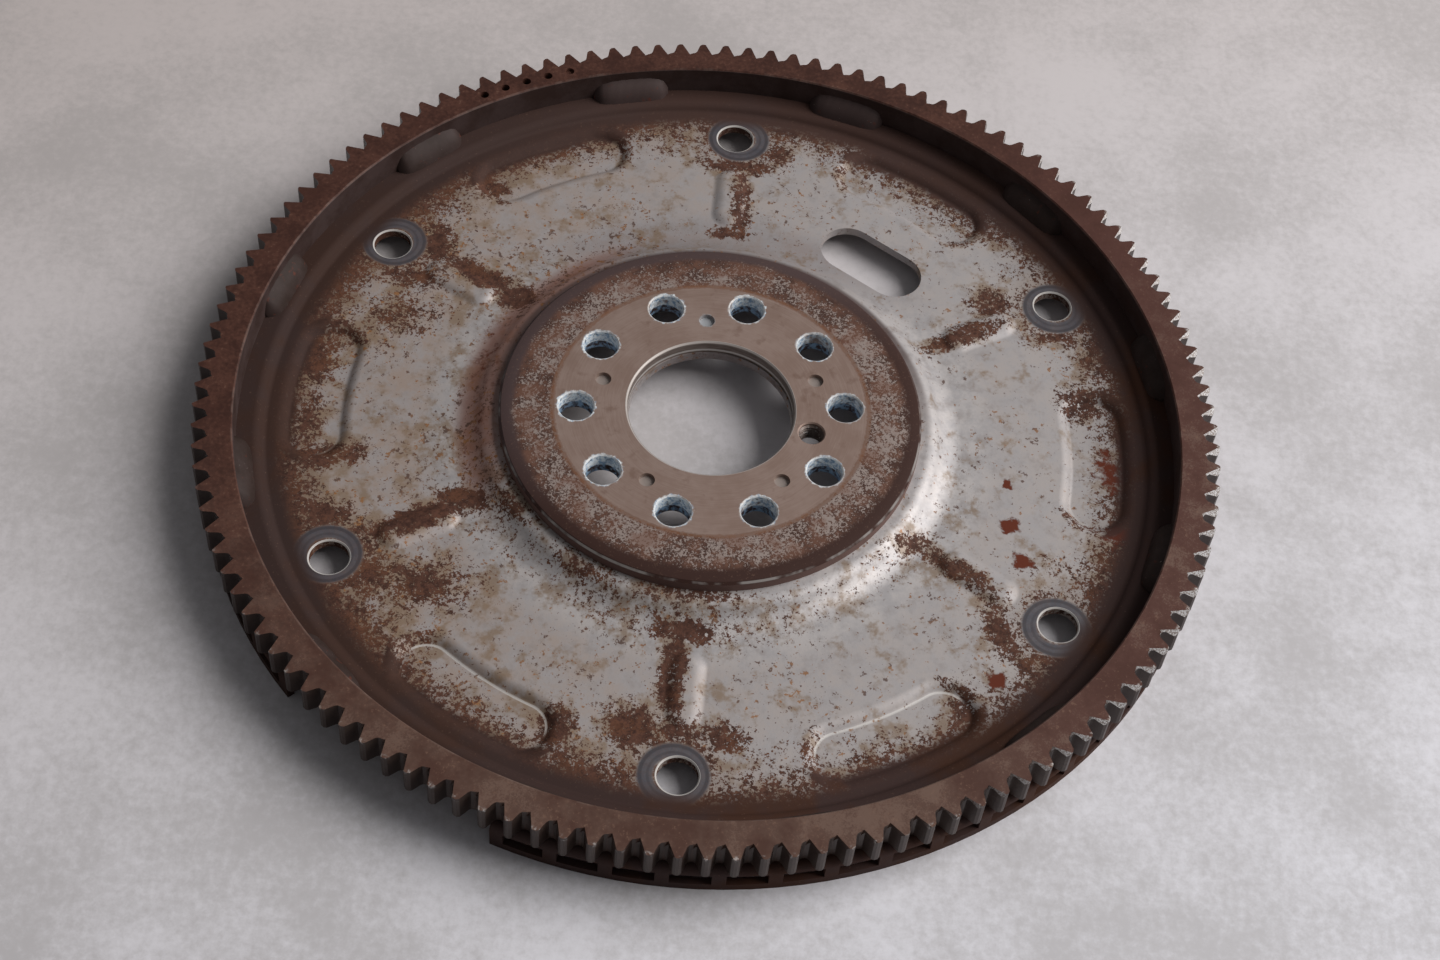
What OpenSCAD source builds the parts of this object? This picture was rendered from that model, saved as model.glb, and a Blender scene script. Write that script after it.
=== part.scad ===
// Flexplate of an automatic gearbox: a pressed drive plate with a windowed skirt, a starter ring
// gear welded on its rim and a thick round hub plate at the crankshaft.
// The axis is +Z and the part lies on the lower edge of its skirt, with the hub plate on top.

/* [Starter ring gear] */
// Number of starter teeth
tooth_count = 125; // [100:1:150]
// Tooth module
tooth_module = 2.5; // [2:0.05:3]
// Pressure angle of the teeth in degrees
pressure_angle = 20; // [16:0.5:25]
// Depth of the stub teeth from tip to root
tooth_depth = 4.4; // [3.6:0.1:5.2]
// Angle of the first tooth about the axis in degrees
tooth_clock = 89.3; // [0:0.1:360]
// Thickness of the ring gear
ring_t = 10; // [8:0.5:14]
// Radial width of the ring body under the tooth roots
ring_body_w = 8; // [6.5:0.25:10]
// Radius of the fillet at the tooth roots
root_fillet = 1; // [0.5:0.1:1.2]
// Rounding of the corners at the tooth tips
tip_round = 0.55; // [0.1:0.05:0.7]
// Width of the pinion entry bevel at the tooth tip, on the upper face
bevel_w = 0.3; // [0.1:0.1:1.2]
// Width of the same bevel where the starter has worn it most
bevel_worn_w = 1.4; // [0.4:0.1:1.6]
// Depth of the bevel down the tooth flank for each millimetre of its width
bevel_slope = 2; // [1:0.1:2.5]
// Angle of the most worn teeth in degrees
wear_clock = 355; // [0:1:360]
// Chamfer on the upper inner edge of the ring
ring_chamfer = 0.5; // [0.2:0.1:1.2]

/* [Balance drillings] */
// Number of drillings in the face of the ring gear
balance_count = 5; // [1:1:12]
// Diameter of a balance drilling
balance_d = 3; // [2:0.25:4]
// Depth of a balance drilling
balance_depth = 5; // [1.5:0.5:7]
// Depth of the first drilling, which was only spotted
balance_spot = 1.2; // [0.6:0.1:3]
// Angle between two drillings in degrees
balance_pitch = 3; // [2:0.25:6]
// Angle of the first drilling in degrees
balance_start = 113; // [0:1:360]
// Distance of the drillings inside the tooth roots
balance_inset = 3.7; // [3:0.1:5]

/* [Drive plate] */
// Thickness of the pressed sheet
sheet_t = 3; // [2:0.1:3.6]
// Height of the seat for the ring gear above the lower edge of the skirt
skirt_h = 10.8; // [9:0.2:16]
// Height of the ring seat above the flat of the plate
rim_step = 2.4; // [1.6:0.1:3.2]
// Radial run of the step up to the ring seat
rim_run = 4.6; // [4:0.1:7]
// Width of the ledge that shows inside the ring gear
ledge_w = 4.7; // [4.4:0.1:6]
// Inside bend radius of the step to the ring seat
rim_bend_r = 0.6; // [0.3:0.1:1]
// Height of the hub seat above the flat of the plate
hub_rise = 4.7; // [3:0.1:7]
// Radial run of the cone between the hub seat and the flat
cone_run = 12; // [9:0.5:15]
// Inside bend radius at the top of the cone
hub_bend_r = 3; // [1:0.5:5]
// Width of the hub seat that shows around the hub plate
seat_margin = 2; // [1:0.5:5]
// Step of the centre bore inside the bore of the hub plate
bore_lip = 0.4; // [0.2:0.1:1]

/* [Converter bolt holes] */
// Number of converter bolt holes, and of ribs and pads
converter_count = 6; // [3:1:6]
// Diameter of the converter bolt circle
converter_pcd = 252.4; // [249:0.2:256]
// Diameter of a converter bolt hole
converter_hole_d = 12; // [9:0.5:14]
// Chamfer on a converter bolt hole
converter_chamfer = 0.4; // [0.2:0.1:1]

/* [Pressed pads] */
// Radius of the middle of the sunk pads
pad_r = 123; // [121.5:0.5:124]
// Half width of the flat floor of a pad
pad_floor = 7.4; // [5:0.1:8]
// Run of the sloping wall around a pad
pad_run = 4.5; // [4.2:0.1:5]
// Depth of a pad
pad_depth = 2; // [1:0.1:2.4]
// Angle from the middle of a pad to the centre of its round end in degrees
pad_half_angle = 7.9; // [4:0.1:9]
// Inside bend radius at the edge of a pad
pad_bend_r = 1.4; // [0.6:0.1:2]

/* [Raised ribs] */
// Radius at the inner end of a rib
rib_inner_r = 84; // [82:0.5:88]
// Radius at the outer end of a rib
rib_outer_r = 112; // [106:0.5:114]
// Half width of the crest of a rib
rib_crest = 1.5; // [0.5:0.1:2.5]
// Run of the flank of a rib
rib_run = 4.7; // [4.2:0.1:6]
// Height of a rib
rib_h = 1.4; // [0.6:0.1:1.8]
// Inside bend radius of the crest of a rib
rib_bend_r = 2.6; // [1:0.1:3.2]

/* [Oblong window in the flat] */
// Radius of the middle of the oblong window
slot_r = 89.5; // [89:0.5:95]
// Angle of the oblong window in degrees
slot_angle = 57; // [54:1:66]
// Length of the oblong window
slot_len = 36.8; // [24:0.2:42]
// Width of the oblong window
slot_w = 18.8; // [10:0.2:20]

/* [Sensor skirt] */
// Distance of the skirt inside the tooth tips
skirt_inset = 1.7; // [1:0.1:2.4]
// Thickness of the skirt
skirt_t = 2.2; // [1.5:0.1:3]
// Outer radius of the bend between ring seat and skirt
skirt_bend_r = 2.8; // [2.4:0.1:4]
// Number of posts along the skirt
post_count = 58; // [20:1:60]
// Angle from one post to the next in degrees
post_pitch = 5.8; // [5.6:0.02:5.9]
// Angular width of a post in degrees
post_angle = 1.48; // [0.8:0.02:2.5]
// Angle at which the skirt starts in degrees
skirt_start = 251.2; // [0:0.1:360]
// Height of the lower rim under the windows
sill_h = 3; // [2:0.1:4.5]
// Distance of the upper edge of the windows below the ring seat
head_h = 3; // [2.5:0.1:4]
// Radius to which the ring seat is cut back where the skirt is left out
cutback_r = 150; // [148.5:0.5:152]

/* [Hub plate] */
// Outer radius of the hub plate
plate_r = 66; // [60:0.5:70]
// Thickness of the hub plate
plate_t = 4.6; // [3:0.1:8]
// Diameter of the pilot bore
bore_d = 52; // [46:0.5:54]
// Chamfer on the pilot bore
bore_chamfer = 0.6; // [0.2:0.1:1.2]
// Width of the rolled band at the rim of the plate
roll_w = 5.5; // [2:0.5:8]
// Drop of the rolled band at the rim of the plate
roll_drop = 0.7; // [0.2:0.1:1.5]

/* [Crankshaft bolt holes] */
// Number of crankshaft bolt holes
crank_count = 10; // [6:2:10]
// Diameter of the crankshaft bolt circle
crank_pcd = 84; // [80:0.5:90]
// Diameter of a crankshaft bolt hole
crank_hole_d = 11; // [9:0.25:13]
// Chamfer on a crankshaft bolt hole
crank_chamfer = 0.4; // [0.1:0.1:0.8]
// Angle of the first crankshaft bolt hole in degrees
crank_clock = 6.2; // [0:0.1:36]
// Diameter of the threaded jacking hole
jack_d = 8; // [6:0.5:9]
// Radius of the threaded jacking hole from the axis
jack_r = 32.4; // [31.5:0.1:33.5]
// Diameter of the half pierced locating dimples
dimple_d = 5; // [3:0.25:5.5]
// Depth of the locating dimples
dimple_depth = 1.4; // [0.5:0.1:2]
// Radius of the locating dimples from the axis
dimple_r = 35.1; // [33:0.1:37]

/* [Welds] */
// Number of weld beads between ring gear and drive plate
weld_count = 12; // [6:1:18]
// Angular length of a weld bead in degrees
weld_angle = 10.3; // [4:0.1:16]
// Angle of the first weld bead in degrees
weld_start = 45; // [0:1:60]
// Leg of a weld bead on the ring seat
weld_seat_leg = 5; // [3:0.1:6]
// Leg of a weld bead on the bore of the ring gear
weld_bore_leg = 6.4; // [3:0.1:8]
// Bulge of a weld bead beyond the straight line between its legs
weld_bulge = 0.9; // [0.2:0.1:1.6]
// Clearance between a weld bead and the bore of the ring gear
weld_gap = 0.02; // [0.01:0.01:0.1]

/* [Hidden] */
$fn = 128;

// Cutters reach this far past the faces that they cut
past = 1;
// Straight pieces that make up a bend of the sheet, a bend of a pressed form, a tooth flank and its fillet
bend_steps = 6;
press_steps = 3;
flank_steps = 2;
fillet_steps = 2;
// How far the cutter of the entry bevel reaches into the tooth gap, and past the tooth root
bevel_out = 0.5;
bevel_nick = 0.6;
// Rounding of the rim of the hub plate, and the share of its drop that the middle of the rolled band has
roll_r = 0.8;
roll_mid = 0.3;
// Sections along a weld bead, and straight pieces across it
weld_rings = 16;
weld_arc_steps = 5;
// Share of the section at the ends of a bead, and the depth of its ripples
weld_end = 0.25;
weld_ripple = 0.03;

// Radii, from the teeth inwards
tip_r = tooth_module * (tooth_count + 2) / 2;
pitch_r = tooth_module * tooth_count / 2;
root_r = tip_r - tooth_depth;
ring_bore_r = root_r - ring_body_w;
skirt_r = tip_r - skirt_inset;
crest_r = ring_bore_r - ledge_w;
rim_foot_r = crest_r - rim_run;
shoulder_r = plate_r + seat_margin;
cone_foot_r = shoulder_r + cone_run;
bore_r = bore_d / 2;

// Levels, from the lower edge of the skirt upwards
seat_z = skirt_h;
flat_z = seat_z - rim_step;
hub_z = flat_z + hub_rise;
plate_z = hub_z + plate_t;
ring_z = seat_z + ring_t;

// Pattern angles
tooth_pitch = 360 / tooth_count;
sector = 360 / converter_count;
converter_clock = 90;
pad_clock = converter_clock + sector / 2;
crank_pitch = 360 / crank_count;
jack_angle = crank_clock - crank_pitch / 2;
dimple_angle = crank_clock + crank_pitch / 2;
dimple_count = crank_count / 2;
skirt_angle = (post_count - 1) * post_pitch + post_angle;
window_angle = post_pitch - post_angle;

// Involute function in degrees
function involute(a) = tan(a) * 180 / PI - a;

// Half the angle that a tooth spans at radius r
function tooth_half(r) =
    90 / tooth_count + involute(pressure_angle)
    - involute(acos(pitch_r * cos(pressure_angle) / r));

function polar(r, a) = [r * cos(a), r * sin(a)];

// Angle of an arc of length s at radius r
function arc_angle(s, r) = s / r * 180 / PI;

function reversed(points) = [for (i = [len(points) - 1 : -1 : 0]) points[i]];

// Sum of the two bend radii of an S-shaped step between two levels
function s_sum(run, rise) = run / sin(2 * atan(rise / run));

// S-shaped step of two tangent arcs from p to q, level at both ends, with bend radius r1 at p
function s_curve(p, q, r1, steps) =
    let (run = q[0] - p[0])
    let (rise = abs(q[1] - p[1]))
    let (way = sign(p[1] - q[1]))
    let (turn = 2 * atan(rise / run))
    let (r2 = s_sum(run, rise) - r1)
    concat(
        [for (i = [0 : steps]) let (t = turn * i / steps)
            [p[0] + r1 * sin(t), p[1] - way * r1 * (1 - cos(t))]],
        [for (i = [steps - 1 : -1 : 0]) let (t = turn * i / steps)
            [q[0] - r2 * sin(t), q[1] + way * r2 * (1 - cos(t))]]
    );

// Quarter bend about centre c from angle a to angle b
function bend(c, r, a, b) =
    [for (i = [0 : bend_steps]) c + polar(r, a + (b - a) * i / bend_steps)];

// Half section of a pressed form: level y0 out to x0, a step to level y1 at x1, closed at level yc
function press_half(x0, y0, x1, y1, r1, yc) =
    concat([[0, y0]], s_curve([x0, y0], [x1, y1], r1, press_steps), [[x1, yc], [0, yc]]);

// The same section on both sides of its middle line
function both_sides(half) =
    concat(half, [for (p = reversed(half)) if (p[0] > 0) [-p[0], p[1]]]);

module around(count, first) {
    for (k = [0 : count - 1])
        rotate(first + k * 360 / count)
            children();
}

// Through hole on a circle of radius r, with its upper face at z and its edge chamfered
module drilled(r, d, z, depth, chamfer) {
    translate([r, 0, z - depth - past])
        cylinder(d = d, h = depth + 2 * past);
    translate([r, 0, z - chamfer])
        cylinder(r1 = d / 2, r2 = d / 2 + chamfer + past, h = chamfer + past);
}

// Form with the half section swept along an arc of the pad circle, with round ends
module pad_sweep(half) {
    rotate(-pad_half_angle)
        rotate_extrude(angle = 2 * pad_half_angle)
            translate([pad_r, 0])
                polygon(both_sides(half));
    for (side = [-1, 1])
        rotate(side * pad_half_angle)
            translate([pad_r, 0, 0])
                rotate_extrude()
                    polygon(half);
}

// Form with the half section swept along a radius, with round ends
module rib_sweep(half) {
    from = rib_inner_r + rib_crest + rib_run;
    to = rib_outer_r - rib_crest - rib_run;
    translate([from, 0, 0])
        rotate([90, 0, 90])
            linear_extrude(height = to - from)
                polygon(both_sides(half));
    for (r = [from, to])
        translate([r, 0, 0])
            rotate_extrude()
                polygon(half);
}

// Section of the pressed sheet from the bore out to the lower edge of the skirt
module sheet_section() {
    inner_r = bore_r - bore_lip;
    hub_r1 = sheet_t + hub_bend_r;
    rim_r1 = s_sum(rim_run, rim_step) - sheet_t - rim_bend_r;
    down = [0, -sheet_t];
    hub_edge = [shoulder_r, hub_z];
    cone_foot = [cone_foot_r, flat_z];
    rim_foot = [rim_foot_r, flat_z];
    crest = [crest_r, seat_z];
    inside_r = skirt_bend_r - skirt_t;
    outer_bend = [skirt_r - skirt_bend_r, seat_z - skirt_bend_r];
    inner_bend = [skirt_r - skirt_bend_r, seat_z - sheet_t - inside_r];
    upper = concat(
        [[inner_r, hub_z]],
        s_curve(hub_edge, cone_foot, hub_r1, bend_steps),
        s_curve(rim_foot, crest, rim_r1, bend_steps),
        bend(outer_bend, skirt_bend_r, 90, 0),
        [[skirt_r, 0]]
    );
    lower = concat(
        [[inner_r, hub_z - sheet_t]],
        s_curve(hub_edge + down, cone_foot + down, hub_r1 - sheet_t, bend_steps),
        s_curve(rim_foot + down, crest + down, rim_r1 + sheet_t, bend_steps),
        bend(inner_bend, inside_r, 90, 0),
        [[skirt_r - skirt_t, 0]]
    );
    polygon(concat(upper, reversed(lower)));
}

// Floor of a sunk pad, from above and from below
module pads(level, drop, r1, close) {
    translate([0, 0, flat_z])
        around(converter_count, pad_clock)
            pad_sweep(press_half(pad_floor, level - drop, pad_floor + pad_run, level, r1, close));
}

module ribs(level, r1, close) {
    translate([0, 0, flat_z])
        around(converter_count, converter_clock)
            rib_sweep(press_half(rib_crest, level + rib_h, rib_crest + rib_run, level, r1, close));
}

module oblong_window() {
    reach = (slot_len - slot_w) / 2;
    rotate(slot_angle)
        translate([slot_r, 0, flat_z - sheet_t - past])
            linear_extrude(height = sheet_t + 2 * past)
                union() {
                    square([slot_w, 2 * reach], center = true);
                    for (side = [-1, 1])
                        translate([0, side * reach])
                            circle(d = slot_w);
                }
}

// Openings between the posts of the skirt
module sensor_windows() {
    width = 2 * skirt_r * sin(window_angle / 2);
    depth = skirt_t + 2 * past;
    for (k = [0 : post_count - 2])
        rotate(skirt_start + post_angle + window_angle / 2 + k * post_pitch)
            translate([skirt_r - skirt_t - past, -width / 2, sill_h])
                cube([depth, width, seat_z - head_h - sill_h]);
}

// The stretch of ring seat and skirt that is left out
module skirt_gap() {
    rotate(skirt_start + skirt_angle)
        rotate_extrude(angle = 360 - skirt_angle)
            translate([cutback_r, -past])
                square([skirt_r - cutback_r + past, seat_z + 2 * past]);
}

module drive_plate() {
    pad_r1 = s_sum(pad_run, pad_depth) - sheet_t - pad_bend_r;
    rib_r1 = sheet_t + rib_bend_r;
    color("#8d8886")
        difference() {
            union() {
                rotate(skirt_start - (360 - skirt_angle) / 2)
                    rotate_extrude()
                        sheet_section();
                pads(-sheet_t, pad_depth, pad_r1 + sheet_t, -sheet_t / 2);
                ribs(0, rib_r1, -sheet_t / 2);
            }
            pads(0, pad_depth, pad_r1, past);
            ribs(-sheet_t, rib_r1 - sheet_t, -sheet_t - past);
            oblong_window();
            around(converter_count, converter_clock)
                drilled(converter_pcd / 2, converter_hole_d, flat_z, sheet_t, converter_chamfer);
            around(crank_count, crank_clock)
                drilled(crank_pcd / 2, crank_hole_d, hub_z, sheet_t, 0);
            rotate(jack_angle)
                drilled(jack_r, jack_d, hub_z, sheet_t, 0);
            sensor_windows();
            skirt_gap();
        }
}

// Points of one tooth flank from the root fillet to the tip: radius, and half angle of the tooth there
function flank_points() =
    concat(
        [for (i = [0 : fillet_steps]) let (t = 90 * i / fillet_steps)
            let (r = root_r + root_fillet * (1 - cos(t)))
            [r, tooth_half(r) + arc_angle(root_fillet * (1 - sin(t)), r)]],
        [for (i = [1 : flank_steps])
            let (r = root_r + root_fillet + (tooth_depth - root_fillet - tip_round) * i / flank_steps)
            [r, tooth_half(r)]],
        [[tip_r, tooth_half(tip_r) - arc_angle(tip_round, tip_r)]]
    );

// Outline of the ring gear with its involute teeth
module gear_outline() {
    flank = flank_points();
    polygon([
        for (k = [0 : tooth_count - 1]) let (a = tooth_clock + k * tooth_pitch)
            each concat(
                [for (p = flank) polar(p[0], a - p[1])],
                [for (p = reversed(flank)) polar(p[0], a + p[1])]
            )
    ]);
}

// Width of the entry bevel on the tooth at angle a: worn most at one stretch, and half as much opposite it
function bevel_at(a) =
    let (c = cos(a - wear_clock))
    bevel_w + (bevel_worn_w - bevel_w) * c * c * (3 + c) / 4;

// Bevel on the clockwise flank of every tooth, from nothing at the root to its full width at the tip
module entry_bevels() {
    foot = polar(root_r, -tooth_half(root_r));
    top = polar(tip_r, -tooth_half(tip_r));
    flank = norm(top - foot);
    lean = atan2(top[1] - foot[1], top[0] - foot[0]);
    wide = bevel_worn_w + bevel_out;
    for (k = [0 : tooth_count - 1]) {
        a = tooth_clock + k * tooth_pitch;
        swing = atan(bevel_at(a) / flank);
        rotate(a)
            translate([foot[0], foot[1], ring_z])
                rotate(lean + swing)
                    translate([-bevel_nick, 0, 0])
                        rotate([90, 0, 90])
                            linear_extrude(height = bevel_nick + flank + past)
                                polygon([
                                    [past / bevel_slope, past],
                                    [-wide, past],
                                    [-wide, -wide * bevel_slope]
                                ]);
    }
}

module balance_drillings() {
    for (k = [0 : balance_count - 1])
        rotate(balance_start + k * balance_pitch)
            translate([root_r - balance_inset, 0, ring_z - (k == 0 ? balance_spot : balance_depth)])
                cylinder(d = balance_d, h = balance_depth + past);
}

module ring_gear() {
    color("#5f3f33")
        difference() {
            translate([0, 0, seat_z])
                linear_extrude(height = ring_t)
                    gear_outline();
            translate([0, 0, seat_z - past])
                cylinder(r = ring_bore_r, h = ring_t + 2 * past);
            translate([0, 0, ring_z - ring_chamfer])
                cylinder(r1 = ring_bore_r, r2 = ring_bore_r + ring_chamfer + past, h = ring_chamfer + past);
            entry_bevels();
            balance_drillings();
        }
}

module hub_plate() {
    color("#7d6458")
        difference() {
            rotate_extrude()
                polygon([
                    [bore_r, hub_z],
                    [bore_r, plate_z - bore_chamfer],
                    [bore_r + bore_chamfer, plate_z],
                    [plate_r - roll_w, plate_z],
                    [plate_r - roll_w / 2, plate_z - roll_drop * roll_mid],
                    [plate_r - roll_r, plate_z - roll_drop],
                    [plate_r, plate_z - roll_drop - roll_r],
                    [plate_r, hub_z]
                ]);
            around(crank_count, crank_clock)
                drilled(crank_pcd / 2, crank_hole_d, plate_z, plate_t, crank_chamfer);
            rotate(jack_angle)
                drilled(jack_r, jack_d, plate_z, plate_t, crank_chamfer);
            around(dimple_count, dimple_angle)
                translate([dimple_r, 0, plate_z - dimple_depth])
                    cylinder(d = dimple_d, h = dimple_depth + past);
        }
}

// Section of a bead, seen from the corner of the bore and the ring seat
function bead_section() =
    let (foot = [-weld_seat_leg, 0])
    let (head = [0, weld_bore_leg])
    let (out = [-weld_bore_leg, weld_seat_leg] / norm(head - foot))
    concat([[0, 0]], [for (j = [0 : weld_arc_steps]) let (t = j / weld_arc_steps)
        foot + t * (head - foot) + 4 * t * (1 - t) * weld_bulge * out]);

// Share of the full section along a bead: tapered at both ends, with shallow ripples
function bead_scale(i) =
    let (t = 2 * i / weld_rings - 1)
    (weld_end + (1 - weld_end) * sqrt(1 - pow(t, 4))) * (1 - weld_ripple * (i % 2));

function bead_ring(i) =
    let (a = weld_angle * (i / weld_rings - 0.5))
    [for (q = bead_section() * bead_scale(i)) let (r = ring_bore_r - weld_gap + q[0])
        [r * cos(a), r * sin(a), seat_z + q[1]]];

// One fillet bead in the corner between the bore of the ring gear and the ring seat
module weld_bead() {
    n = len(bead_section());
    last = weld_rings * n;
    polyhedron(
        points = [for (i = [0 : weld_rings]) each bead_ring(i)],
        faces = concat(
            [for (j = [1 : n - 2]) [0, j, j + 1]],
            [for (j = [1 : n - 2]) [last, last + j + 1, last + j]],
            [for (i = [0 : weld_rings - 1], j = [0 : n - 1]) let (k = (j + 1) % n)
                each [[i * n + k, i * n + j, i * n + n + j], [i * n + k, i * n + n + j, i * n + n + k]]]
        )
    );
}

module weld_beads() {
    color("#57484a")
        around(weld_count, weld_start)
            weld_bead();
}

drive_plate();
ring_gear();
hub_plate();
weld_beads();
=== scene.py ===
import math

import bmesh
import bpy
from mathutils import Matrix, Vector


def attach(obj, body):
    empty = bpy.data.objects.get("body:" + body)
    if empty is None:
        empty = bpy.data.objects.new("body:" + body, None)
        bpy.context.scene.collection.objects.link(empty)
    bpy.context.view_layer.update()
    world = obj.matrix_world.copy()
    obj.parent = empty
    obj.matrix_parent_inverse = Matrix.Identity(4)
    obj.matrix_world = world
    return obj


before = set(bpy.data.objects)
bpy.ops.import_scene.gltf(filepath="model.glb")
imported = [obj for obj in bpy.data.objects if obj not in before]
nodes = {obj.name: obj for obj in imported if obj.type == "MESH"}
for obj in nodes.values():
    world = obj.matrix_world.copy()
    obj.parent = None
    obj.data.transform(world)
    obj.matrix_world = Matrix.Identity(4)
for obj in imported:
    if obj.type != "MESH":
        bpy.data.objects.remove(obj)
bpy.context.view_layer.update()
scene = bpy.context.scene
scene.view_settings.view_transform = "Standard"

# Sizes of the part in millimetres and angles in degrees, as in its source
BORE_R = 26.0
CRANK_R = 42.0
CRANK_HOLE_R = 5.5
CRANK_PITCH = 36.0
CRANK_CLOCK = 6.2
DIMPLE_R = 35.1
JACK_R = 32.4
JACK_ANGLE = CRANK_CLOCK - CRANK_PITCH / 2.0
JACK_HOLE_R = 4.0
THREAD_DEPTH = 0.65
THREAD_PITCH = 1.25
PRINT_R = 49.1
HUB_R = 66.0
ROLL_W = 4.6
PAD_R = 123.0
PAD_HALF_ANGLE = 7.9
PAD_FLOOR = 7.4
PAD_RUN = 4.5
CONVERTER_R = 126.2
CONVERTER_HOLE_R = 6.0
CONVERTER_CLOCK = 90.0
RIM_FOOT_R = 137.05
RING_BORE_R = 146.35
ROOT_R = 154.35
TIP_R = 158.75
SECTOR = 60.0
HUB_Z = 13.1
PLATE_Z = 17.7
RING_Z = 20.8
SHEET_T = 3.0

# Places of the marks on the surfaces, in millimetres
CONE_OUTER_R = 94.0
CONE_INNER_R = 82.0
CONE_FOOT_R = 75.0
PINK_BAND_R = 72.0
CREEP_SHADE_R = 70.5
WASHER_R = 8.2
WASHER_HALF_W = 1.7
WASHER_SHIFT = -1.2
LOCKER_R = 5.7
DIMPLE_FLOOR_R = 2.3
SPECKLED_R = 57.0

MM = 0.001
DEGREE = math.pi / 180.0
BEND_ANGLE = 20.0
WELD_ANGLE = 50.0


# Node graph helpers

class Value:
    """A number that a shader node gives out, with the usual operators."""

    def __init__(self, graph, socket):
        self.graph = graph
        self.socket = socket

    def __add__(self, other):
        return self.graph.math("ADD", self, other)

    def __radd__(self, other):
        return self.graph.math("ADD", other, self)

    def __sub__(self, other):
        return self.graph.math("SUBTRACT", self, other)

    def __rsub__(self, other):
        return self.graph.math("SUBTRACT", other, self)

    def __mul__(self, other):
        return self.graph.math("MULTIPLY", self, other)

    def __rmul__(self, other):
        return self.graph.math("MULTIPLY", other, self)

    def abs(self):
        return self.graph.math("ABSOLUTE", self)

    def root(self):
        return self.graph.math("SQRT", self)

    def sin(self):
        return self.graph.math("SINE", self)

    def cos(self):
        return self.graph.math("COSINE", self)

    def least(self, other):
        return self.graph.math("MINIMUM", self, other)

    def most(self, other):
        return self.graph.math("MAXIMUM", self, other)

    def wrap(self, low, high):
        return self.graph.math("WRAP", self, high, low)

    def rise(self, low, high):
        """0 below low and 1 above high, smooth between them; falls if low is above high."""
        return self.graph.smooth(self, low, high)

    def band(self, middle, half, soft):
        """1 within half of the middle, falling to 0 over soft."""
        return (self - middle).abs().rise(half + soft, half)


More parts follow.
